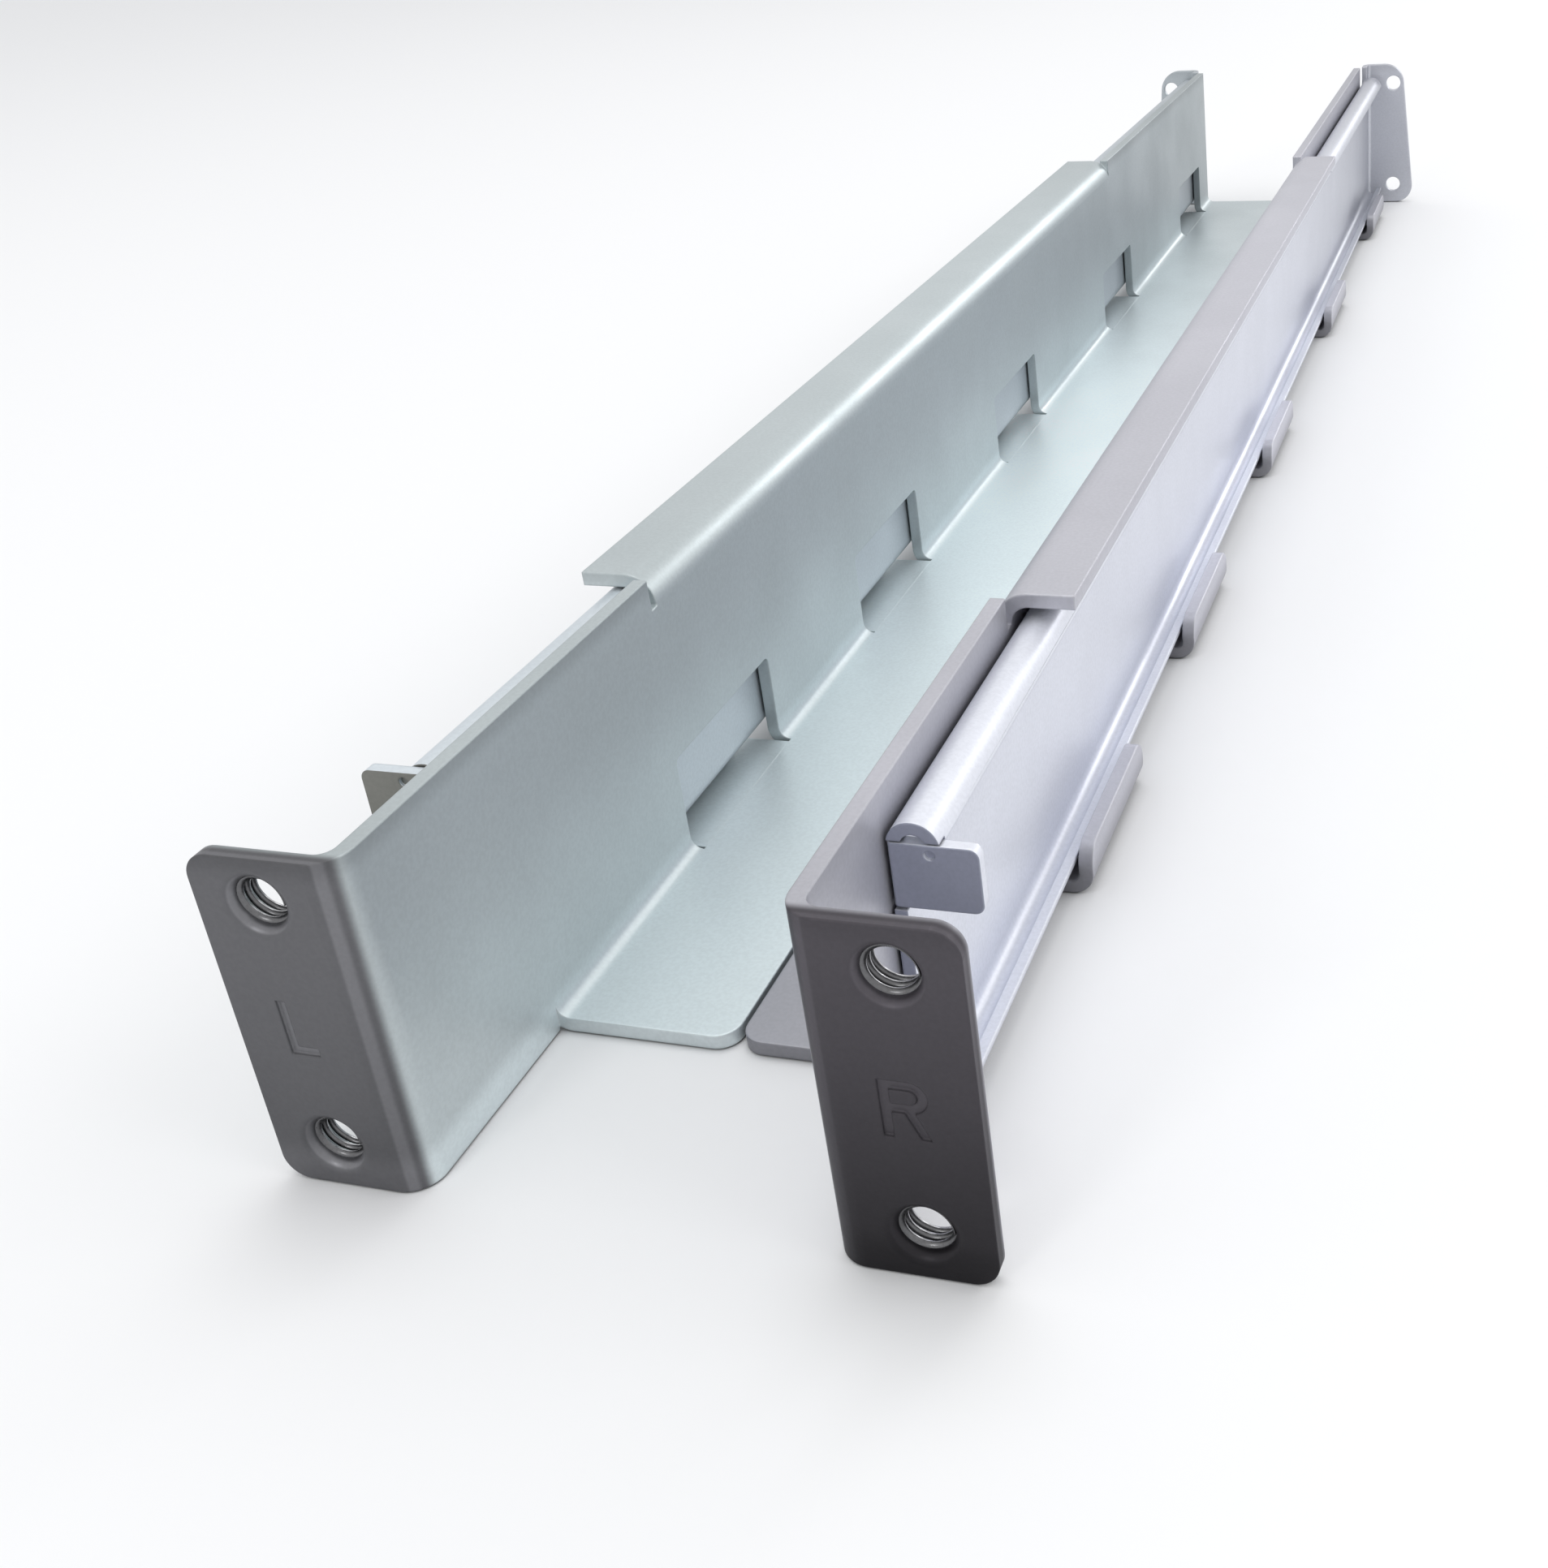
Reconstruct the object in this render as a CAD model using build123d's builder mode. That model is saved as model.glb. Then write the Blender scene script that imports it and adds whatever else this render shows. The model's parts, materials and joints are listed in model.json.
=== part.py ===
# A pair of one-unit rack rails that telescope in depth, in millimetres.
# X runs across the rack, Y from the front of the rack to its rear, and Z is up.
# The origin is the middle of the footprint, on the surface that the rails stand on.
# Every piece is drawn right-handed, and the left-hand ones are then mirrored.
from build123d import *
import os

# Front rail: one bent sheet with a web, a shelf, a top flange, an ear and hooks
rail_sheet = 2.0
rail_height = 43.2
rail_length = 450.0
rail_bend_inside = 1.8
web_spacing = 47.8

# Shelf that the equipment stands on, nearly touching the other rail's
shelf_gap = 0.6
shelf_start = 28.5
shelf_corner = 3.0

# Top flange over the rear slide
flange_width = 10.6
flange_start = 69.0
flange_end = 322.0
flange_bend_inside = 2.4
flange_notch = 1.5

# Front ear and its two drawn and tapped holes
ear_width = 18.2
ear_corner = 3.0
hole_pitch = 31.75
hole_radius = 3.0
hole_from_web = 10.6
hole_mouth_round = 1.4
collar_wall = 1.2
collar_height = 2.0
collar_rim_round = 0.4

# Stamped side marks, an L and an R
mark_from_web = 10.4
mark_height = 7.0
mark_widths = {"L": 3.6, "R": 5.0}
mark_stroke = 1.1
mark_depth = 0.35
bowl_height = 3.9

# Windows in the web, and the hooks that are folded out of them
window_places = (0.147, 0.298, 0.478, 0.689, 0.902)
window_length = 31.0
window_top = 16.3
window_corner = 1.0
hook_end_slot = 0.6
slot_reach = 1.8
hook_thinning = 0.1
hook_top = 7.2
hook_bend_inside = 1.2
hook_end_round = 3.2

# Rear slide: one rolled sheet that opens outward
slide_sheet = 1.5
slide_start = 21.5
slide_length = 435.0
roll_outside = 3.0
slide_side_gap = 0.4
slide_floor_gap = 0.3
slide_top_gap = 1.3
roll_notch_place = 309.5
roll_notch_radius = 1.2

# Front tab of the slide, which fills a slot in the slide's web
tab_width = 10.2
tab_height = 8.0
tab_above_roll_middle = 0.35
tab_corner = 1.2
tab_neck = 3.2
tab_slot = 0.5
tab_slit = 0.25
tab_bend_inside = 0.3
tab_bend_outside = 0.6
tab_dot_radius = 0.6
tab_dot_depth = 0.4
tab_dot_from_web = 7.1
tab_dot_below_top = 1.2

# The left-hand slide lies higher in its rail, and its taller tab stands in front of its roll
left_lift = 1.0
left_tab_rise = 2.4
left_tab_slope = 2.0

# Rear ear of the slide and its two plain holes
rear_ear_width = 18.2
rear_ear_taper = 3.7
rear_ear_neck = 5.0
rear_bend_inside = 1.0
rear_top_corner = 6.0
rear_bottom_corner = 5.0
rear_hole_from_web = 11.8
rear_hole_radius = 2.2

# Places that follow from the sizes above
slide_end = slide_start + slide_length
front_y = -slide_end / 2
rear_y = front_y + slide_end
web_x = web_spacing / 2
web_outer_x = web_x + rail_sheet
shelf_width = web_x - shelf_gap / 2
rail_bend_outside = rail_bend_inside + rail_sheet
flange_bend_outside = flange_bend_inside + rail_sheet
hole_x = web_x + hole_from_web
hole_levels = ((rail_height - hole_pitch) / 2, (rail_height + hole_pitch) / 2)
collar_radius = hole_radius + collar_wall

slide_x = web_outer_x + slide_side_gap
slide_outer_x = slide_x + slide_sheet
roll_inside = roll_outside - slide_sheet
roll_x = slide_x + roll_outside
roll_outer_x = slide_x + 2 * roll_outside
lower_roll_z = rail_sheet + slide_floor_gap + roll_outside
upper_roll_z = rail_height - rail_sheet - slide_top_gap - roll_outside

hook_inner_x = roll_outer_x + slide_side_gap
hook_outer_x = hook_inner_x + rail_sheet
hook_floor_z = rail_sheet - hook_thinning
hook_length = window_length - 2 * hook_end_slot
window_starts = [front_y + place * rail_length for place in window_places]

tab_y = front_y + slide_start
tab_top_z = upper_roll_z + tab_above_roll_middle
tab_bottom_z = tab_top_z - tab_height
tab_outer_x = slide_x + tab_width
rear_ear_x = web_x + rear_ear_width
rear_hole_x = web_x + rear_hole_from_web
roll_notch_y = tab_y + roll_notch_place


def across(y):
    """The plane at y that faces the front of the rack, with X to the right and Z up."""
    return Plane(origin=(0, y, 0), x_dir=(1, 0, 0), z_dir=(0, -1, 0))


def along(x):
    """The plane at x that faces outward, with Y to the right and Z up."""
    return Plane(origin=(x, 0, 0), x_dir=(0, 1, 0), z_dir=(1, 0, 0))


def nearest(sketch, first, second):
    """The corner of a sketch that lies nearest to two of its own coordinates."""
    return sketch.vertices().sort_by_distance(Vertex(first, second, 0))[0]


def ear_plan():
    """The front ear, its bend and the plain web behind it, seen from above."""
    with BuildSketch() as plan:
        with BuildLine():
            Polyline(
                (web_x, front_y),
                (web_x + ear_width, front_y),
                (web_x + ear_width, front_y + rail_sheet),
                (web_outer_x, front_y + rail_sheet),
                (web_outer_x, front_y + shelf_start),
                (web_x, front_y + shelf_start),
                close=True,
            )
        make_face()
        fillet(nearest(plan, web_x, front_y), radius=rail_bend_outside)
        fillet(nearest(plan, web_outer_x, front_y + rail_sheet), radius=rail_bend_inside)
    return plan.sketch


def rail_section(y, top_width):
    """The shelf, the web and a top flange of the given width, cut across at y."""
    has_flange = top_width > rail_sheet
    underside = rail_height - rail_sheet
    if has_flange:
        top = [(web_outer_x, underside), (web_x + top_width, underside), (web_x + top_width, rail_height)]
    else:
        top = [(web_outer_x, rail_height)]
    with BuildSketch(across(y)) as section:
        with BuildLine():
            Polyline(
                (web_x - shelf_width, 0),
                (web_outer_x, 0),
                *top,
                (web_x, rail_height),
                (web_x, rail_sheet),
                (web_x - shelf_width, rail_sheet),
                close=True,
            )
        make_face()
        fillet(nearest(section, web_outer_x, 0), radius=rail_bend_outside)
        fillet(nearest(section, web_x, rail_sheet), radius=rail_bend_inside)
        if has_flange:
            fillet(nearest(section, web_x, rail_height), radius=flange_bend_outside)
            fillet(nearest(section, web_outer_x, underside), radius=flange_bend_inside)
    return section.sketch


def hook_section(y):
    """One hook, cut across at y: a floor that leaves the shelf, and a lip that turns up."""
    with BuildSketch(across(y)) as section:
        with BuildLine():
            Polyline(
                (web_x - slot_reach, 0),
                (hook_outer_x, 0),
                (hook_outer_x, hook_top),
                (hook_inner_x, hook_top),
                (hook_inner_x, hook_floor_z),
                (web_x - slot_reach, hook_floor_z),
                close=True,
            )
        make_face()
        fillet(nearest(section, hook_outer_x, 0), radius=hook_bend_inside + rail_sheet)
        fillet(nearest(section, hook_inner_x, hook_floor_z), radius=hook_bend_inside)
    return section.sketch


def hook_outline(y):
    """One hook seen from the side, with the two ends of its lip rounded."""
    with BuildSketch(along(web_x - slot_reach)) as outline:
        with Locations((y, 0)):
            Rectangle(hook_length, hook_top, align=Align.MIN)
        fillet(outline.vertices().group_by(Axis.Y)[-1], radius=hook_end_round)
    return outline.sketch


def hook(y):
    """One hook whose front end is at y."""
    with BuildPart() as folded:
        extrude(hook_section(y), amount=-hook_length)
        reach = hook_outer_x - web_x + slot_reach
        extrude(hook_outline(y), amount=reach, mode=Mode.INTERSECT)
    return folded.part


def window(y):
    """One window from the shelf's underside up into the web, seen from the side."""
    with BuildSketch(along(web_x - slot_reach)) as opening:
        with Locations((y, 0)):
            Rectangle(window_length, window_top, align=Align.MIN)
        fillet(opening.vertices().group_by(Axis.Y)[-1], radius=window_corner)
    return opening.sketch


def discs(plane, middle_x, radius):
    """Two discs at the rack's hole pitch."""
    with BuildSketch(plane) as pair:
        with Locations(*[(middle_x, level) for level in hole_levels]):
            Circle(radius)
    return pair.sketch


def side_mark(letter, middle_x):
    """A plain stamped L or R in the middle of an ear."""
    width = mark_widths[letter]
    with BuildSketch(across(front_y)) as mark:
        with Locations((middle_x - width / 2, (rail_height - mark_height) / 2)):
            Rectangle(mark_stroke, mark_height, align=Align.MIN)
            if letter == "L":
                Rectangle(width, mark_stroke, align=Align.MIN)
        if letter == "R":
            left = middle_x - width / 2
            top = (rail_height + mark_height) / 2
            bowl = bowl_height / 2
            with Locations((left + width - bowl, top - bowl)):
                Circle(bowl)
                Circle(bowl - mark_stroke, mode=Mode.SUBTRACT)
                Rectangle(bowl, bowl_height, align=(Align.MAX, Align.CENTER), mode=Mode.SUBTRACT)
            for level in (top - mark_stroke, top - bowl_height):
                with Locations((left, level)):
                    Rectangle(width - bowl, mark_stroke, align=Align.MIN)
            with BuildLine():
                Polyline(
                    (left + width - bowl - mark_stroke, top - bowl_height + mark_stroke),
                    (left + width - bowl, top - bowl_height + mark_stroke),
                    (left + width, top - mark_height),
                    (left + width - mark_stroke, top - mark_height),
                    close=True,
                )
            make_face()
    return mark.sketch


def tab_gap(lift):
    """The footprint of the slide's front end that is cut away around the tab."""
    with BuildSketch(Plane.XY.offset(tab_bottom_z + lift - tab_slot)) as gap:
        with Locations((slide_x, tab_y)):
            Rectangle(slide_sheet, tab_neck, align=Align.MIN)
            Rectangle(2 * roll_outside, slide_sheet + tab_slit, align=Align.MIN)
    return gap.sketch


def slide_section(lift):
    """The rolled section of a slide lifted by lift: a web with a roll at each edge."""
    upper_z = upper_roll_z + lift
    lower_z = lower_roll_z + lift
    with BuildSketch(across(tab_y)) as section:
        for roll_z, kept in ((upper_z, Align.MIN), (lower_z, Align.MAX)):
            with BuildSketch(mode=Mode.PRIVATE) as hem:
                Circle(roll_outside)
                Circle(roll_inside, mode=Mode.SUBTRACT)
                Rectangle(
                    2 * roll_outside,
                    roll_outside,
                    align=(Align.CENTER, kept),
                    mode=Mode.INTERSECT,
                )
            with Locations((roll_x, roll_z)):
                add(hem.sketch)
        with Locations((slide_x, lower_z)):
            Rectangle(slide_sheet, upper_z - lower_z, align=Align.MIN)
    return section.sketch


def tab_plan(bottom_z):
    """The tab at the slide's front and its bend, seen from above."""
    with BuildSketch(Plane.XY.offset(bottom_z)) as plan:
        with BuildLine():
            Polyline(
                (slide_x, tab_y),
                (tab_outer_x, tab_y),
                (tab_outer_x, tab_y + slide_sheet),
                (slide_outer_x, tab_y + slide_sheet),
                (slide_outer_x, tab_y + tab_neck),
                (slide_x, tab_y + tab_neck),
                close=True,
            )
        make_face()
        fillet(nearest(plan, slide_x, tab_y), radius=tab_bend_outside)
        fillet(nearest(plan, slide_outer_x, tab_y + slide_sheet), radius=tab_bend_inside)
    return plan.sketch


def tab_outline(bottom_z, height, slope):
    """The tab seen from the front, with its outer corners rounded and its inner top corner sloped."""
    with BuildSketch(across(tab_y)) as outline:
        with Locations((slide_x, bottom_z)):
            Rectangle(tab_width, height, align=Align.MIN)
        fillet(outline.vertices().group_by(Axis.X)[-1], radius=tab_corner)
        if slope > 0:
            chamfer(nearest(outline, slide_x, bottom_z + height), length=slope)
    return outline.sketch


def tab(bottom_z, height, slope):
    """The tab, folded outward from the slide's web, with a small dimple near its top."""
    with BuildPart() as folded:
        extrude(tab_plan(bottom_z), amount=height)
        extrude(tab_outline(bottom_z, height, slope), amount=-tab_neck, mode=Mode.INTERSECT)
        with BuildSketch(across(tab_y)):
            with Locations((web_x + tab_dot_from_web, bottom_z + height - tab_dot_below_top)):
                Circle(tab_dot_radius)
        extrude(amount=-tab_dot_depth, mode=Mode.SUBTRACT)
    return folded.part


def rear_ear_plan():
    """The ear at the slide's rear and its bend, seen from above."""
    with BuildSketch() as plan:
        with BuildLine():
            Polyline(
                (slide_x, rear_y - rear_ear_neck),
                (slide_outer_x, rear_y - rear_ear_neck),
                (slide_outer_x, rear_y - slide_sheet),
                (rear_ear_x, rear_y - slide_sheet),
                (rear_ear_x, rear_y),
                (slide_x, rear_y),
                close=True,
            )
        make_face()
        fillet(nearest(plan, slide_x, rear_y), radius=rear_bend_inside + slide_sheet)
        fillet(nearest(plan, slide_outer_x, rear_y - slide_sheet), radius=rear_bend_inside)
    return plan.sketch


def rear_ear_outline():
    """The outline of the rear ear, which narrows a little toward its rounded top."""
    with BuildSketch(across(rear_y)) as outline:
        with BuildLine():
            Polyline(
                (slide_x, 0),
                (rear_ear_x, 0),
                (rear_ear_x - rear_ear_taper, rail_height),
                (slide_x, rail_height),
                close=True,
            )
        make_face()
        fillet(nearest(outline, rear_ear_x, 0), radius=rear_bottom_corner)
        top_corner = nearest(outline, rear_ear_x - rear_ear_taper, rail_height)
        fillet(top_corner, radius=rear_top_corner)
    return outline.sketch


def rolled_length(lift):
    """The rear ear with its holes, the rolled length, and the notch in the upper roll."""
    with BuildPart() as rolled:
        extrude(rear_ear_plan(), amount=rail_height)
        extrude(rear_ear_outline(), amount=rear_ear_neck, mode=Mode.INTERSECT)
        holes = discs(across(rear_y), rear_hole_x, rear_hole_radius)
        extrude(holes, amount=slide_sheet, mode=Mode.SUBTRACT)
        extrude(slide_section(lift), amount=rear_ear_neck - slide_length)
        with BuildSketch(along(roll_x)):
            with Locations((roll_notch_y, upper_roll_z + lift)):
                Circle(roll_notch_radius)
        extrude(amount=roll_outside, mode=Mode.SUBTRACT)
    return rolled.part


hooks = [hook(start + hook_end_slot) for start in window_starts]

# Front rail without its side mark
with BuildPart() as rail_blank:
    extrude(ear_plan(), amount=rail_height)
    ear_corners = rail_blank.edges().filter_by(Axis.Y).group_by(Axis.X)[-1]
    fillet(ear_corners, radius=ear_corner)

    # Shelf and web, with the flange along the middle of the top
    stretches = (
        (shelf_start, flange_start, rail_sheet),
        (flange_start, flange_end, flange_width),
        (flange_end, rail_length, rail_sheet),
    )
    for start, end, top_width in stretches:
        extrude(rail_section(front_y + start, top_width), amount=start - end)
    shelf_corners = rail_blank.edges().filter_by(Axis.Z).group_by(Axis.X)[0]
    fillet(shelf_corners.sort_by(Axis.Y)[0], radius=shelf_corner)

    # Notch where the flange starts
    with BuildSketch(along(web_x)):
        with Locations((front_y + flange_start, rail_height)):
            Rectangle(flange_notch, flange_bend_outside, align=Align.MAX)
    extrude(amount=rail_sheet, mode=Mode.SUBTRACT)

    # Windows and hooks
    for start in window_starts:
        extrude(window(start), amount=slot_reach + rail_sheet, mode=Mode.SUBTRACT)
    add(hooks)

    # Collars drawn out behind the ear, and their bores with a rolled-in mouth
    collars = discs(across(front_y + rail_sheet / 2), hole_x, collar_radius)
    extrude(collars, amount=-rail_sheet / 2 - collar_height)
    rims = rail_blank.edges().filter_by(lambda edge: edge.is_closed)
    fillet(rims.group_by(Axis.Y)[-1], radius=collar_rim_round)
    bores = discs(across(front_y), hole_x, hole_radius)
    extrude(bores, amount=-rail_sheet - collar_height, mode=Mode.SUBTRACT)
    mouths = rail_blank.edges().filter_by(lambda edge: edge.is_closed)
    fillet(mouths.group_by(Axis.Y)[0], radius=hole_mouth_round)

with BuildPart() as front_rail_right:
    add(rail_blank.part)
    mark_x = web_x + mark_from_web
    extrude(side_mark("R", mark_x), amount=-mark_depth, mode=Mode.SUBTRACT)

with BuildPart() as front_rail_left:
    mirror(rail_blank.part, about=Plane.YZ)
    extrude(side_mark("L", -mark_x), amount=-mark_depth, mode=Mode.SUBTRACT)

# Right-hand slide, whose tab just reaches into the mouth of its roll
with BuildPart() as rear_slider_right:
    add(rolled_length(0))
    extrude(tab_gap(0), amount=tab_slot + tab_height + tab_slit, mode=Mode.SUBTRACT)
    add(tab(tab_bottom_z, tab_height, 0))

# Left-hand slide, whose roll is cut back behind the taller tab
with BuildPart() as raised_slide:
    add(rolled_length(left_lift))
    extrude(tab_gap(left_lift), amount=rail_height, mode=Mode.SUBTRACT)
    add(tab(tab_bottom_z + left_lift, tab_height + left_tab_rise, left_tab_slope))

with BuildPart() as rear_slider_left:
    mirror(raised_slide.part, about=Plane.YZ)

os.makedirs("parts", exist_ok=True)
front_rail_left.part.label = "front_rail_left"
export_step(front_rail_left.part, "parts/front_rail_left.step")
front_rail_right.part.label = "front_rail_right"
export_step(front_rail_right.part, "parts/front_rail_right.step")
rear_slider_left.part.label = "rear_slider_left"
export_step(rear_slider_left.part, "parts/rear_slider_left.step")
rear_slider_right.part.label = "rear_slider_right"
export_step(rear_slider_right.part, "parts/rear_slider_right.step")
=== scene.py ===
import json
import math
import bmesh
import bpy
from mathutils import Matrix, Vector


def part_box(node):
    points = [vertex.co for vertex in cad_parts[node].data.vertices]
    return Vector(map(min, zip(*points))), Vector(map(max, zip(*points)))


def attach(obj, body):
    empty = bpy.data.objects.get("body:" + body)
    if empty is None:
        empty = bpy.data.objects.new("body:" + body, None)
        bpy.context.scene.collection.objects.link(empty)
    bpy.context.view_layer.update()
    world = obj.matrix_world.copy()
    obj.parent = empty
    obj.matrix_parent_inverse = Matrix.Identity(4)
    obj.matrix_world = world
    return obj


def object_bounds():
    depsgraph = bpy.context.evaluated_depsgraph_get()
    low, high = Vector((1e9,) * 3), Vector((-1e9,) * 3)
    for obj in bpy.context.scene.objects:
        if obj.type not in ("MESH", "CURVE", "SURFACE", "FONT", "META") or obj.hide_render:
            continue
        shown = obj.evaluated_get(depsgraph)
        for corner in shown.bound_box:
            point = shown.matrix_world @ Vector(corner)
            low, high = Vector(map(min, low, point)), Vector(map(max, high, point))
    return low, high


bl_info = {
    "name": "Rack Rail Kit",
    "version": (1, 0, 0),
    "blender": (4, 5, 0),
    "location": "View3D > Sidebar > Rack Rails",
    "description": "Finishes a pair of telescoping rack rails and sets up their studio",
    "category": "Object",
}

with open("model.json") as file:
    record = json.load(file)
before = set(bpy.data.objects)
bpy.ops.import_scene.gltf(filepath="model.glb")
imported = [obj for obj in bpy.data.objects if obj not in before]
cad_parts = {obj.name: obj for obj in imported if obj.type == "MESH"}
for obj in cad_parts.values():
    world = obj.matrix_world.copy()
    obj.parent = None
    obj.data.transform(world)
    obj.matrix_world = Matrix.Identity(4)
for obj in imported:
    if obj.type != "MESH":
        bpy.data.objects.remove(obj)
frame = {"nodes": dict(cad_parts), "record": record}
cad_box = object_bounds()
mm = 0.001

FRONT_RAILS = {"left": "front_rail_left", "right": "front_rail_right"}
REAR_SLIDES = {"left": "rear_slider_left", "right": "rear_slider_right"}
RAIL_BODIES = {"left": "left_rail", "right": "right_rail"}

# Where the rails end along the rack, and the height of their topmost faces
front_y, rear_y = cad_box[0][1], cad_box[1][1]
top_z = cad_box[1][2]

# The finish of each piece, with its painted light and shade. The tones are shares of the plate's
# colour that paint light and shade by place: on the shelf, along the top, on the ear, just behind
# the ear and at the rear end. The painted shade on the forward faces is full in front of its depth
# and weaker behind it, and its grade is its level at the bottom and at the top. In the stamped
# marks and the mouths of the holes it is lighter by the mark share, which is a painted highlight.
RAIL_FINISH_AND_LIGHT = {
    "left": {
        "roughness": 0.41,
        "shelf_tone": 1.3,
        "top_tone": 0.77,
        "ear_tone": 0.76,
        "front_tone": 0.86,
        "rear_tone": 0.66,
        "shade_depth": 6.0 * mm,
        "shade_behind": 0.30,
        "shade_grade": (0.85, 1.12),
        "mark_highlight": 1.5,
    },
    "right": {
        "roughness": 0.41,
        "shelf_tone": 0.72,
        "top_tone": 0.87,
        "ear_tone": 0.76,
        "front_tone": 0.86,
        "rear_tone": 0.76,
        "shade_depth": 6.0 * mm,
        "shade_behind": 0.45,
        "shade_grade": (0.42, 1.45),
        "mark_highlight": 1.35,
    },
}
SLIDE_FINISH_AND_LIGHT = {
    "roughness": 0.42,
    "shelf_tone": 1.0,
    "top_tone": 0.85,
    "ear_tone": 0.95,
    "front_tone": 1.0,
    "rear_tone": 0.70,
    "shade_depth": 26.0 * mm,
    "shade_behind": 0.0,
    "shade_grade": (0.8, 1.1),
    "mark_highlight": 1.0,
}

# Each lamp's place, the point it shines at, and its width and depth, in metres
LAMPS = {
    "key": ((-0.05, 0.10, 1.25), (0.0, 0.0, 0.0), (0.55, 0.45)),
    "side": ((0.9, -0.1, 0.75), (0.0, 0.0, 0.02), (0.9, 0.4)),
    "front": ((-0.32, -1.15, 0.62), (0.0, -0.2, 0.02), (0.28, 0.20)),
    "rim": ((0.52, 1.20, 0.40), (0.0, 0.0, 0.03), (0.40, 0.22)),
}


class RackRailSizes(bpy.types.PropertyGroup):
    """Sizes of the details that are added to the rails."""

    edge_round: bpy.props.FloatProperty(
        name="Edge Round",
        description="Width of the worn round along the cut edges of the sheet",
        default=0.17 * mm,
        min=0.0,
        subtype="DISTANCE",
        unit="LENGTH",
    )
    soft_edge: bpy.props.FloatProperty(
        name="Soft Edge",
        description="Radius over which the shading of every edge is softened",
        default=0.4 * mm,
        min=0.0,
        subtype="DISTANCE",
        unit="LENGTH",
    )
    thread_pitch: bpy.props.FloatProperty(
        name="Thread Pitch",
        description="Distance between two turns of the thread in the ears' holes",
        default=1.0 * mm,
        min=0.0001,
        subtype="DISTANCE",
        unit="LENGTH",
    )
    thread_root: bpy.props.FloatProperty(
        name="Thread Root",
        description="Radius of the thread's root, which is the bore's own radius",
        default=3.0 * mm,
        subtype="DISTANCE",
        unit="LENGTH",
    )
    thread_crest: bpy.props.FloatProperty(
        name="Thread Crest",
        description="Radius of the thread's crest",
        default=2.55 * mm,
        subtype="DISTANCE",
        unit="LENGTH",
    )
    thread_start: bpy.props.FloatProperty(
        name="Thread Start",
        description="Depth behind the ear's face at which the thread begins",
        default=1.0 * mm,
        subtype="DISTANCE",
        unit="LENGTH",
    )
    thread_end: bpy.props.FloatProperty(
        name="Thread End",
        description="Depth behind the ear's face at which the thread ends",
        default=3.95 * mm,
        subtype="DISTANCE",
        unit="LENGTH",
    )


class RackRailColours(bpy.types.PropertyGroup):
    """Colours of the plated sheet, of the painted shade on its forward faces, of the threads and
    of the floor.
    """

    rail_left: bpy.props.FloatVectorProperty(
        name="Left Rail",
        description="Plating of the left front rail, a little cool and green",
        default=(0.76, 0.835, 0.85),
        min=0.0,
        max=1.0,
        subtype="COLOR",
    )
    rail_right: bpy.props.FloatVectorProperty(
        name="Right Rail",
        description="Plating of the right front rail, a little lilac",
        default=(0.73, 0.73, 0.79),
        min=0.0,
        max=1.0,
        subtype="COLOR",
    )
    slide_left: bpy.props.FloatVectorProperty(
        name="Left Slide",
        description="Plating of the left rear slide",
        default=(0.74, 0.80, 0.84),
        min=0.0,
        max=1.0,
        subtype="COLOR",
    )
    slide_right: bpy.props.FloatVectorProperty(
        name="Right Slide",
        description="Plating of the right rear slide",
        default=(0.86, 0.88, 0.95),
        min=0.0,
        max=1.0,
        subtype="COLOR",
    )
    # Painted shade: dark colours for the forward faces of the front rails, which stand in for the
    # shade on them
    ear_shade_left: bpy.props.FloatVectorProperty(
        name="Left Ear Face",
        description="Duller film on the forward faces of the left front rail",
        default=(0.165, 0.165, 0.175),
        min=0.0,
        max=1.0,
        subtype="COLOR",
    )
    ear_shade_right: bpy.props.FloatVectorProperty(
        name="Right Ear Face",
        description="Duller film on the forward faces of the right front rail",
        default=(0.080, 0.074, 0.084),
        min=0.0,
        max=1.0,
        subtype="COLOR",
    )
    # Painted shade: colours for the forward faces of the slides' tabs, which stand in for the
    # shade on them
    tab_shade_left: bpy.props.FloatVectorProperty(
        name="Left Tab Face",
        description="Duller film on the forward faces of the left slide",
        default=(0.22, 0.22, 0.20),
        min=0.0,
        max=1.0,
        subtype="COLOR",
    )
    tab_shade_right: bpy.props.FloatVectorProperty(
        name="Right Tab Face",
        description="Duller film on the forward faces of the right slide",
        default=(0.41, 0.43, 0.52),
        min=0.0,
        max=1.0,
        subtype="COLOR",
    )
    thread: bpy.props.FloatVectorProperty(
        name="Thread",
        description="Bare bright metal of the cut threads",
        default=(0.60, 0.60, 0.62),
        min=0.0,
        max=1.0,
        subtype="COLOR",
    )
    floor: bpy.props.FloatVectorProperty(
        name="Floor",
        description="Plain pale floor",
        default=(0.93, 0.93, 0.93),
        min=0.0,
        max=1.0,
        subtype="COLOR",
    )


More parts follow.
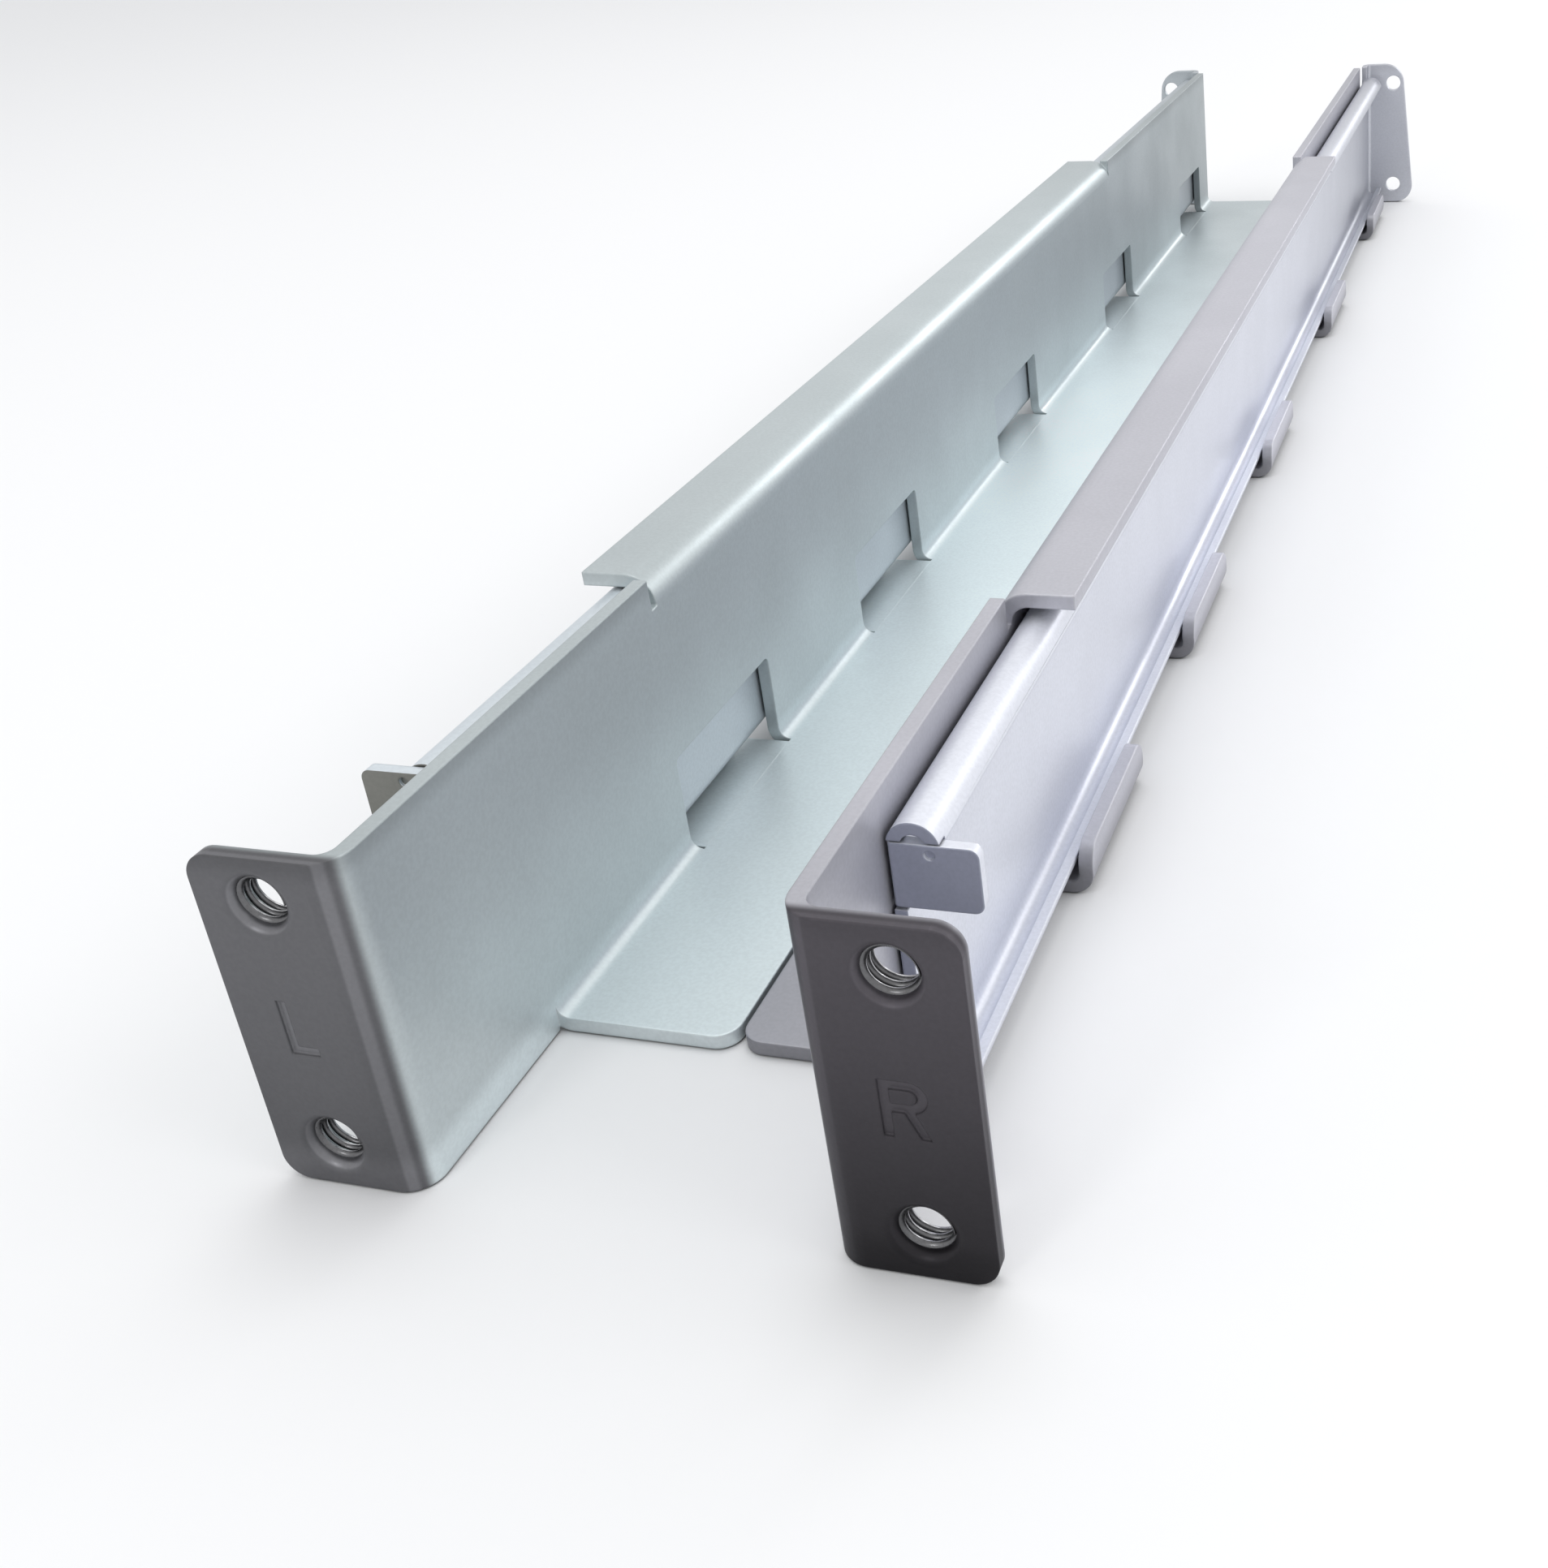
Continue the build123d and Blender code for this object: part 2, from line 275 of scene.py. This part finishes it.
class RackRailStudio(bpy.types.PropertyGroup):
    """Light and camera of the studio."""

    key_power: bpy.props.FloatProperty(
        name="Key Light",
        description="Power of the broad lamp above and behind the rails",
        default=2.5,
        min=0.0,
        subtype="POWER",
        unit="POWER",
    )
    side_power: bpy.props.FloatProperty(
        name="Side Light",
        description="Power of the strip lamp to the right of the rails",
        default=2.0,
        min=0.0,
        subtype="POWER",
        unit="POWER",
    )
    front_power: bpy.props.FloatProperty(
        name="Front Light",
        description="Power of the small lamp in front that draws the highlights on the ears",
        default=1.3,
        min=0.0,
        subtype="POWER",
        unit="POWER",
    )
    rim_power: bpy.props.FloatProperty(
        name="Rim Light",
        description="Power of the low lamp behind the rails that lights the bends",
        default=1.9,
        min=0.0,
        subtype="POWER",
        unit="POWER",
    )
    sky_level: bpy.props.FloatProperty(
        name="Sky Level",
        description="Strength of the soft light from all round",
        default=0.82,
        min=0.0,
        subtype="FACTOR",
    )
    lens: bpy.props.FloatProperty(
        name="Lens",
        description="Focal length on a 36 mm sensor",
        default=40.453,
        min=1.0,
        subtype="DISTANCE_CAMERA",
    )


def sizes():
    """The sizes that the user set."""
    return bpy.context.scene.rack_rail_sizes


def colours():
    """The colours that the user set."""
    return bpy.context.scene.rack_rail_colours


def studio():
    """The studio's settings."""
    return bpy.context.scene.rack_rail_studio


def add_node(material, kind, **values):
    """Adds a shader node and sets its plain attributes."""
    node = material.node_tree.nodes.new(kind)
    for name, value in values.items():
        setattr(node, name, value)
    return node


def graded(material, source, steps):
    """A smooth grade over a value, through (place, level) steps."""
    low, high = steps[0][0], steps[-1][0]
    span = add_node(material, "ShaderNodeMapRange")
    span.inputs["From Min"].default_value = low
    span.inputs["From Max"].default_value = high
    material.node_tree.links.new(source, span.inputs["Value"])
    ramp = add_node(material, "ShaderNodeValToRGB")
    ramp.color_ramp.interpolation = "EASE"
    stops = ramp.color_ramp.elements
    while len(stops) < len(steps):
        stops.new(0.5)
    for stop, (place, level) in zip(stops, steps):
        stop.position = (place - low) / (high - low)
    for stop, (place, level) in zip(stops, steps):
        stop.color = (level, level, level, 1.0)
    material.node_tree.links.new(span.outputs["Result"], ramp.inputs["Fac"])
    return ramp.outputs["Color"]


def combined(material, operation, first, second):
    """Two values combined by an operation of the Math node."""
    node = add_node(material, "ShaderNodeMath", operation=operation)
    material.node_tree.links.new(first, node.inputs[0])
    material.node_tree.links.new(second, node.inputs[1])
    return node.outputs["Value"]


def product(material, first, *others):
    """The product of several values."""
    for other in others:
        first = combined(material, "MULTIPLY", first, other)
    return first


def scaled_colour(material, level):
    """A node that scales the colour in its first input by a level."""
    node = add_node(material, "ShaderNodeVectorMath", operation="SCALE")
    material.node_tree.links.new(level, node.inputs["Scale"])
    return node


def openness(material, distance):
    """How open a surface is to its surroundings, within a distance: near 0 in a tight corner."""
    node = add_node(material, "ShaderNodeAmbientOcclusion", samples=4)
    node.inputs["Distance"].default_value = distance
    return node.outputs["AO"]


def bumped(material, height, strength, depth, normal=None):
    """A relief over a height, on top of another normal if there is one."""
    node = add_node(material, "ShaderNodeBump")
    node.inputs["Strength"].default_value = strength
    node.inputs["Distance"].default_value = depth
    material.node_tree.links.new(height, node.inputs["Height"])
    if normal:
        material.node_tree.links.new(normal, node.inputs["Normal"])
    return node.outputs["Normal"]


def noise(material, place, scale, detail):
    """A noise over the object's own space."""
    node = add_node(material, "ShaderNodeTexNoise")
    node.inputs["Scale"].default_value = scale
    node.inputs["Detail"].default_value = detail
    material.node_tree.links.new(place, node.inputs["Vector"])
    return node.outputs["Fac"]


def tone_and_painted_light(material, finish_and_light, place, facing, cloud, grain):
    """How bright the plate is: its clouding and grain, and painted light and shade by its place
    and its facing.
    """
    shelf_top, bend_top = 2.5 * mm, 6.0 * mm
    # Painted light and shade by height and by reach along the rail
    heights = (
        (shelf_top, finish_and_light["shelf_tone"]),
        (bend_top, 1.0),
        (top_z - 3.2 * mm, 0.96),
        (top_z - 0.2 * mm, finish_and_light["top_tone"]),
    )
    reaches = (
        (front_y + 2.0 * mm, finish_and_light["ear_tone"]),
        (front_y + 24.0 * mm, finish_and_light["front_tone"]),
        (0.5 * (front_y + rear_y), 1.0),
        (rear_y, finish_and_light["rear_tone"]),
    )
    # Painted shade on faces that look down and in narrow gaps
    looks_down = ((-0.9, 0.62), (-0.1, 1.0))
    narrow_gap = 1.5 * mm
    return product(
        material,
        graded(material, cloud, ((0.3, 0.93), (0.7, 1.0))),
        graded(material, grain, ((0.3, 0.94), (0.7, 1.0))),
        graded(material, place["Z"], heights),
        graded(material, place["Y"], reaches),
        graded(material, facing["Z"], looks_down),
        graded(material, openness(material, narrow_gap), ((0.0, 0.5), (0.4, 1.0))),
    )


def painted_shade_cover(material, finish_and_light, place, facing):
    """Where the painted shade lies: on the forward faces, full on the ear and weaker behind it."""
    shade_end = front_y + finish_and_light["shade_depth"]
    fade_end = shade_end + 3.0 * mm
    forward = ((-0.94, 1.0), (-0.3, 0.0))
    ear_face_shade = ((front_y + 1.1 * mm, 1.0), (front_y + 2.4 * mm, 0.0))
    # The painted shade stays full low down and near the ear, and thins toward the top behind it
    below_flange = ((top_z - 13.2 * mm, 1.0), (top_z - 2.2 * mm, 0.25))
    near_ear = ((shade_end, 1.0), (fade_end, 0.0))
    fade = ((shade_end, 1.0), (fade_end, finish_and_light["shade_behind"]))
    covered = combined(
        material,
        "MAXIMUM",
        graded(material, facing["Y"], forward),
        graded(material, place["Y"], ear_face_shade),
    )
    level = combined(
        material,
        "MAXIMUM",
        graded(material, place["Z"], below_flange),
        graded(material, place["Y"], near_ear),
    )
    return product(material, covered, graded(material, place["Y"], fade), level)


def painted_shade_tint(material, shade_colour, finish_and_light, place):
    """The painted shade's colour, graded in height, with a painted highlight in the marks and the
    mouths of holes.
    """
    bottom, top = finish_and_light["shade_grade"]
    # A painted highlight just behind the ear's face, in the marks and the mouths of the holes
    pressed_in = (
        (front_y + 0.12 * mm, 1.0),
        (front_y + 0.28 * mm, finish_and_light["mark_highlight"]),
        (front_y + 0.60 * mm, finish_and_light["mark_highlight"]),
        (front_y + 1.00 * mm, 1.0),
    )
    level = product(
        material,
        graded(material, place["Z"], ((0.0, bottom), (top_z - 0.2 * mm, top))),
        graded(material, place["Y"], pressed_in),
    )
    shade = scaled_colour(material, level)
    shade.inputs[0].default_value = shade_colour
    return shade.outputs["Vector"]


def sheet_relief(material, wave, grain):
    """Softened edges, a slow waviness of the rolled sheet, and the grain as a fine relief."""
    soft = add_node(material, "ShaderNodeBevel", samples=6)
    soft.inputs["Radius"].default_value = sizes().soft_edge
    waviness = bumped(material, wave, 0.07, 1.2 * mm, soft.outputs["Normal"])
    return bumped(material, grain, 0.22, 0.06 * mm, waviness)


def plated_sheet(name, body_colour, shade_colour, finish_and_light):
    """Satin zinc plate: fine grain, faint clouding, painted shade on the forward faces, and
    painted light and shade by place and facing.
    """
    material = bpy.data.materials.new(name)
    material.use_nodes = True
    link = material.node_tree.links.new
    shader = material.node_tree.nodes["Principled BSDF"]
    shader.inputs["Metallic"].default_value = 0.6
    shader.inputs["Specular Tint"].default_value = (0.72, 0.72, 0.74, 1.0)
    shader.inputs["Specular IOR Level"].default_value = 0.35
    coordinates = add_node(material, "ShaderNodeTexCoord")
    position = add_node(material, "ShaderNodeSeparateXYZ")
    link(coordinates.outputs["Object"], position.inputs["Vector"])
    direction = add_node(material, "ShaderNodeSeparateXYZ")
    link(coordinates.outputs["Normal"], direction.inputs["Vector"])
    place, facing = position.outputs, direction.outputs

    # Clouds some centimetres across, a wave of the sheet, and grains of about half a millimetre
    cloud = noise(material, coordinates.outputs["Object"], 38.0, 5.0)
    wave = noise(material, coordinates.outputs["Object"], 24.0, 2.0)
    grain = noise(material, coordinates.outputs["Object"], 1900.0, 3.0)

    # The body colour is mixed with the painted shade on the forward faces and scaled by the
    # painted light and shade
    plate = add_node(material, "ShaderNodeMix", data_type="RGBA")
    plate.inputs["A"].default_value = (*body_colour, 1.0)
    link(painted_shade_tint(material, shade_colour, finish_and_light, place), plate.inputs["B"])
    link(painted_shade_cover(material, finish_and_light, place, facing), plate.inputs["Factor"])
    shaded = scaled_colour(material, tone_and_painted_light(material, finish_and_light, place, facing, cloud, grain))
    link(plate.outputs["Result"], shaded.inputs[0])
    link(shaded.outputs["Vector"], shader.inputs["Base Color"])

    # Roughness follows the clouding
    smooth, rough = finish_and_light["roughness"] - 0.05, finish_and_light["roughness"] + 0.05
    link(graded(material, cloud, ((0.3, rough), (0.7, smooth))), shader.inputs["Roughness"])
    link(sheet_relief(material, wave, grain), shader.inputs["Normal"])
    return material


def cut_thread():
    """Bare bright metal with the fine chatter of a tap, with painted shade in its grooves and on
    its forward flanks.
    """
    material = bpy.data.materials.new("cut_thread")
    material.use_nodes = True
    link = material.node_tree.links.new
    shader = material.node_tree.nodes["Principled BSDF"]
    shader.inputs["Metallic"].default_value = 1.0
    coordinates = add_node(material, "ShaderNodeTexCoord")
    chatter = noise(material, coordinates.outputs["Object"], 2600.0, 4.0)
    tint = add_node(material, "ShaderNodeMix", data_type="RGBA")
    bright = colours().thread
    dull_share = 0.6
    tint.inputs["A"].default_value = (*[dull_share * level for level in bright], 1.0)
    tint.inputs["B"].default_value = (*bright, 1.0)
    link(chatter, tint.inputs["Factor"])
    direction = add_node(material, "ShaderNodeSeparateXYZ")
    link(coordinates.outputs["Normal"], direction.inputs["Vector"])
    groove_reach = 0.8 * mm
    # Painted shade in the grooves and on the flanks that face forward
    tone = product(
        material,
        graded(material, openness(material, groove_reach), ((0.2, 0.25), (0.75, 1.0))),
        graded(material, direction.outputs["Y"], ((-0.6, 0.3), (-0.1, 1.0))),
    )
    shaded = scaled_colour(material, tone)
    link(tint.outputs["Result"], shaded.inputs[0])
    link(shaded.outputs["Vector"], shader.inputs["Base Color"])
    sheen = add_node(material, "ShaderNodeMapRange")
    sheen.inputs["To Min"].default_value = 0.22
    sheen.inputs["To Max"].default_value = 0.36
    link(chatter, sheen.inputs["Value"])
    link(sheen.outputs["Result"], shader.inputs["Roughness"])
    link(bumped(material, chatter, 0.3, 0.04 * mm), shader.inputs["Normal"])
    return material


def cut_edge_nodes(name, start):
    """Weights the cut edges behind start, in Y, for the rounding, and keeps the others crisp."""
    tree = bpy.data.node_groups.new(name, "GeometryNodeTree")
    for way in ("INPUT", "OUTPUT"):
        tree.interface.new_socket("Geometry", in_out=way, socket_type="NodeSocketGeometry")
    add, link = tree.nodes.new, tree.links.new
    sheet, done = add("NodeGroupInput"), add("NodeGroupOutput")
    bend_limit = math.radians(38.0)
    corner = add("GeometryNodeInputMeshEdgeAngle")
    cut = add("FunctionNodeCompare")
    cut.inputs["B"].default_value = bend_limit
    link(corner.outputs["Unsigned Angle"], cut.inputs["A"])
    place = add("GeometryNodeInputPosition")
    reach = add("ShaderNodeSeparateXYZ")
    link(place.outputs["Position"], reach.inputs["Vector"])
    behind = add("FunctionNodeCompare")
    behind.inputs["B"].default_value = start
    link(reach.outputs["Y"], behind.inputs["A"])

    # An edge is rounded if it is cut and behind, and shaded smoothly unless it is cut and in front
    rounded, smooth = add("FunctionNodeBooleanMath"), add("FunctionNodeBooleanMath")
    rounded.operation, smooth.operation = "AND", "IMPLY"
    for choice in (rounded, smooth):
        link(cut.outputs["Result"], choice.inputs[0])
        link(behind.outputs["Result"], choice.inputs[1])
    weight = add("GeometryNodeStoreNamedAttribute")
    weight.domain = "EDGE"
    weight.data_type = "FLOAT"
    weight.inputs["Name"].default_value = "bevel_weight_edge"
    link(sheet.outputs["Geometry"], weight.inputs["Geometry"])
    link(rounded.outputs["Boolean"], weight.inputs["Value"])
    crease = add("GeometryNodeSetShadeSmooth")
    crease.domain = "EDGE"
    link(weight.outputs["Geometry"], crease.inputs["Geometry"])
    link(smooth.outputs["Boolean"], crease.inputs["Shade Smooth"])
    link(crease.outputs["Geometry"], done.inputs["Geometry"])
    return tree


def dress(node, material, rounded_from):
    """Gives a sheet its material and rounds its cut edges from a place near its front end."""
    sheet = frame["nodes"][node]
    sheet.data.materials.clear()
    sheet.data.materials.append(material)
    weld = sheet.modifiers.new("weld", "WELD")
    weld.merge_threshold = 0.002 * mm
    flat = sheet.modifiers.new("flat_faces", "DECIMATE")
    flat.decimate_type = "DISSOLVE"
    flat.angle_limit = math.radians(1.0)
    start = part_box(node)[0][1] + rounded_from
    chosen = sheet.modifiers.new("cut_edges", "NODES")
    chosen.node_group = cut_edge_nodes("cut_edges_" + node, start)
    bevel = sheet.modifiers.new("edge_round", "BEVEL")
    bevel.offset_type = "WIDTH"
    bevel.width = sizes().edge_round
    bevel.segments = 2
    bevel.limit_method = "WEIGHT"
    bevel.use_clamp_overlap = False
    smooth = sheet.modifiers.new("shading", "WEIGHTED_NORMAL")
    smooth.weight = 80
    smooth.keep_sharp = True


def thread_mesh(name, start, end):
    """A thread ridge that winds along -Y from start to end and fades at both ends."""
    size = sizes()
    turns = (end - start) / size.thread_pitch
    steps_per_turn = 56
    steps = int(turns * steps_per_turn)
    fade_steps = steps_per_turn // 3
    root_share, crest_share = 0.92, 0.18
    half_root = 0.5 * root_share * size.thread_pitch
    half_crest = 0.5 * crest_share * size.thread_pitch
    buried = 0.12 * mm
    lowest_ridge = 0.02 * mm
    mesh = bmesh.new()
    rings = []
    for step in range(steps + 1):
        angle = 2.0 * math.pi * step / steps_per_turn
        middle = start + (end - start) * step / steps
        fade = min(1.0, step / fade_steps, (steps - step) / fade_steps)
        height = (size.thread_root - size.thread_crest) * math.sin(0.5 * math.pi * fade)
        crest = size.thread_root - max(height, lowest_ridge)
        outline = (
            (size.thread_root + buried, -half_root),
            (size.thread_root, -half_root),
            (crest, -half_crest),
            (crest, half_crest),
            (size.thread_root, half_root),
            (size.thread_root + buried, half_root),
        )
        ring = [
            mesh.verts.new((radius * math.cos(angle), middle + offset, radius * math.sin(angle)))
            for radius, offset in outline
        ]
        rings.append(ring)
    for ring, following in zip(rings, rings[1:]):
        for index in range(len(ring)):
            after = (index + 1) % len(ring)
            mesh.faces.new((ring[index], ring[after], following[after], following[index]))
    mesh.faces.new(rings[0][::-1])
    mesh.faces.new(rings[-1])
    bmesh.ops.recalc_face_normals(mesh, faces=mesh.faces)
    data = bpy.data.meshes.new(name)
    mesh.to_mesh(data)
    mesh.free()
    for face in data.polygons:
        face.use_smooth = True
    return data


def ear_holes(side):
    """The centres of an ear's two holes on its front face, from the ear's own bolt pattern."""
    mounts = {mount["name"]: mount for mount in frame["record"]["mounts"]}
    ear = mounts[side + "_front_ear"]
    middle_x, _, middle_z = ear["pos_m"]
    half_pitch = 0.5 * ear["dims"]["spacing_y_mm"] * mm
    face_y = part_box(FRONT_RAILS[side])[0][1]
    return [Vector((middle_x, face_y, middle_z + turn * half_pitch)) for turn in (-1, 1)]


class RACKRAILS_OT_front_rails(bpy.types.Operator):
    """Plate the two front rails and round their cut edges"""

    bl_idname = "rackrails.front_rails"
    bl_label = "Finish Front Rails"

    def execute(self, context):
        palette = colours()
        bodies = {"left": palette.rail_left, "right": palette.rail_right}
        # The dark colours that are painted on the forward faces as shade
        painted_shades = {"left": palette.ear_shade_left, "right": palette.ear_shade_right}
        # The rounding starts in front of the rail, so that it takes in the whole of it
        whole_rail = -1.0 * mm
        for side, node in FRONT_RAILS.items():
            finish_and_light = RAIL_FINISH_AND_LIGHT[side]
            plate = plated_sheet("plate_rail_" + side, bodies[side], painted_shades[side], finish_and_light)
            dress(node, plate, whole_rail)
        return {"FINISHED"}


class RACKRAILS_OT_rear_slides(bpy.types.Operator):
    """Plate the two rear slides and round their cut edges"""

    bl_idname = "rackrails.rear_slides"
    bl_label = "Finish Rear Slides"

    def execute(self, context):
        palette = colours()
        bodies = {"left": palette.slide_left, "right": palette.slide_right}
        # The colours that are painted on the tabs' forward faces as shade
        painted_shades = {"left": palette.tab_shade_left, "right": palette.tab_shade_right}
        # The tab's edges and the rolls' front ends stay crisp, and the rest is rounded
        behind_tab = 3.6 * mm
        for side, node in REAR_SLIDES.items():
            plate = plated_sheet("plate_slide_" + side, bodies[side], painted_shades[side], SLIDE_FINISH_AND_LIGHT)
            dress(node, plate, behind_tab)
        return {"FINISHED"}


class RACKRAILS_OT_threads(bpy.types.Operator):
    """Cut a thread into each hole of the front ears"""

    bl_idname = "rackrails.threads"
    bl_label = "Cut Ear Threads"

    def execute(self, context):
        size = sizes()
        metal = cut_thread()
        for side, body in RAIL_BODIES.items():
            for level, centre in zip(("lower", "upper"), ear_holes(side)):
                name = "ear_thread_" + side + "_" + level
                data = thread_mesh(name, size.thread_start, size.thread_end)
                data.transform(Matrix.Translation(centre))
                data.materials.append(metal)
                thread = bpy.data.objects.new(name, data)
                context.scene.collection.objects.link(thread)
                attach(thread, body)
        return {"FINISHED"}


def aim(lamp, target):
    """Turns a lamp to shine at a target."""
    away = Vector(target) - lamp.location
    lamp.rotation_euler = away.to_track_quat("-Z", "Y").to_euler()


def add_lamp(name, power):
    """Adds one of the soft rectangular lamps."""
    place, target, (width, depth) = LAMPS[name]
    data = bpy.data.lights.new(name, "AREA")
    data.shape = "RECTANGLE"
    data.size = width
    data.size_y = depth
    data.energy = power
    lamp = bpy.data.objects.new(name, data)
    bpy.context.scene.collection.objects.link(lamp)
    lamp.location = place
    aim(lamp, target)


def add_floor():
    """A plain pale floor just under the rails, with a painted contact shadow close around them."""
    reach = 4.0
    drop = 0.2 * mm
    data = bpy.data.meshes.new("floor")
    turns = ((-1, -1), (1, -1), (1, 1), (-1, 1))
    corners = [(across * reach, along * reach, -drop) for across, along in turns]
    data.from_pydata(corners, [], [(0, 1, 2, 3)])
    material = bpy.data.materials.new("floor_paper")
    material.use_nodes = True
    shader = material.node_tree.nodes["Principled BSDF"]
    # Painted contact shadow: the floor is darker where the rails close it in
    contact = 4.0 * mm
    shade = graded(material, openness(material, contact), ((0.0, 0.15), (0.42, 1.0)))
    paper = scaled_colour(material, shade)
    paper.inputs[0].default_value = colours().floor
    material.node_tree.links.new(paper.outputs["Vector"], shader.inputs["Base Color"])
    shader.inputs["Roughness"].default_value = 0.9
    shader.inputs["Specular IOR Level"].default_value = 0.1
    data.materials.append(material)
    floor = bpy.data.objects.new("floor", data)
    bpy.context.scene.collection.objects.link(floor)


def set_world():
    """White behind everything, and a softer level as light."""
    world = bpy.data.worlds.new("studio")
    bpy.context.scene.world = world
    world.use_nodes = True
    nodes = world.node_tree.nodes
    link = world.node_tree.links.new
    nodes.clear()
    rays = nodes.new("ShaderNodeLightPath")
    seen = nodes.new("ShaderNodeMath")
    seen.operation = "MAXIMUM"
    link(rays.outputs["Is Camera Ray"], seen.inputs[0])
    link(rays.outputs["Is Glossy Ray"], seen.inputs[1])
    shown = nodes.new("ShaderNodeMath")
    shown.operation = "MAXIMUM"
    link(seen.outputs["Value"], shown.inputs[0])
    link(rays.outputs["Is Transmission Ray"], shown.inputs[1])
    white = nodes.new("ShaderNodeBackground")
    white.inputs["Color"].default_value = (1.0, 1.0, 1.0, 1.0)
    soft = nodes.new("ShaderNodeBackground")
    soft.inputs["Color"].default_value = (0.97, 0.98, 1.0, 1.0)
    soft.inputs["Strength"].default_value = studio().sky_level
    mixed = nodes.new("ShaderNodeMixShader")
    link(shown.outputs["Value"], mixed.inputs["Fac"])
    link(soft.outputs["Background"], mixed.inputs[1])
    link(white.outputs["Background"], mixed.inputs[2])
    output = nodes.new("ShaderNodeOutputWorld")
    link(mixed.outputs["Shader"], output.inputs["Surface"])


def add_camera():
    """The camera stands at the photograph's place, just above the right rail's front."""
    photo_width = 1907
    photo_height = 1932
    principal_x = 1306.4
    principal_y = 727.1
    place = Vector((91.8, -348.6, 137.1)) * mm
    yaw = -0.3023
    pitch = 0.4390
    roll = 0.0836
    ahead = Vector((math.sin(yaw), math.cos(yaw), 0.0))
    forward = math.cos(pitch) * ahead + Vector((0.0, 0.0, -math.sin(pitch)))
    level_right = Vector((math.cos(yaw), -math.sin(yaw), 0.0))
    level_down = forward.cross(level_right)
    right = math.cos(roll) * level_right + math.sin(roll) * level_down
    down = math.cos(roll) * level_down - math.sin(roll) * level_right
    data = bpy.data.cameras.new("camera")
    data.sensor_width = 36.0
    data.lens = studio().lens
    data.shift_x = (photo_width / 2 - principal_x) / photo_height
    data.shift_y = (principal_y - photo_height / 2) / photo_height
    data.clip_start = 0.005
    camera = bpy.data.objects.new("camera", data)
    bpy.context.scene.collection.objects.link(camera)
    turn = Matrix((right, -down, -forward)).transposed().to_4x4()
    camera.matrix_world = Matrix.Translation(place) @ turn
    bpy.context.scene.camera = camera


class RACKRAILS_OT_stage(bpy.types.Operator):
    """Set up the floor, the lamps, the world and the camera"""

    bl_idname = "rackrails.stage"
    bl_label = "Set Up Studio"

    def execute(self, context):
        light = studio()
        add_floor()
        set_world()
        add_lamp("key", light.key_power)
        add_lamp("side", light.side_power)
        add_lamp("front", light.front_power)
        add_lamp("rim", light.rim_power)
        add_camera()
        context.scene.view_settings.view_transform = "Standard"
        return {"FINISHED"}


class RACKRAILS_PT_panel(bpy.types.Panel):
    """Lists the sizes, the colours and the steps"""

    bl_label = "Rack Rails"
    bl_idname = "RACKRAILS_PT_panel"
    bl_space_type = "VIEW_3D"
    bl_region_type = "UI"
    bl_category = "Rack Rails"

    def draw(self, context):
        scene = context.scene
        groups = (scene.rack_rail_sizes, scene.rack_rail_colours, scene.rack_rail_studio)
        for group in groups:
            box = self.layout.box()
            for name in group.__annotations__:
                box.prop(group, name)
        for operator in OPERATORS:
            self.layout.operator(operator.bl_idname)


GROUPS = {
    "rack_rail_sizes": RackRailSizes,
    "rack_rail_colours": RackRailColours,
    "rack_rail_studio": RackRailStudio,
}
OPERATORS = (
    RACKRAILS_OT_front_rails,
    RACKRAILS_OT_rear_slides,
    RACKRAILS_OT_threads,
    RACKRAILS_OT_stage,
)


def register():
    """Registers the settings, the operators and the panel."""
    for name, group in GROUPS.items():
        bpy.utils.register_class(group)
        setattr(bpy.types.Scene, name, bpy.props.PointerProperty(type=group))
    for operator in OPERATORS:
        bpy.utils.register_class(operator)
    bpy.utils.register_class(RACKRAILS_PT_panel)


def unregister():
    """Removes everything that register added."""
    bpy.utils.unregister_class(RACKRAILS_PT_panel)
    for operator in reversed(OPERATORS):
        bpy.utils.unregister_class(operator)
    for name, group in GROUPS.items():
        delattr(bpy.types.Scene, name)
        bpy.utils.unregister_class(group)


def main():
    """Builds the whole scene."""
    register()
    bpy.ops.rackrails.front_rails()
    bpy.ops.rackrails.rear_slides()
    bpy.ops.rackrails.threads()
    bpy.ops.rackrails.stage()
    bpy.context.view_layer.update()


if __name__ == "__main__":
    main()
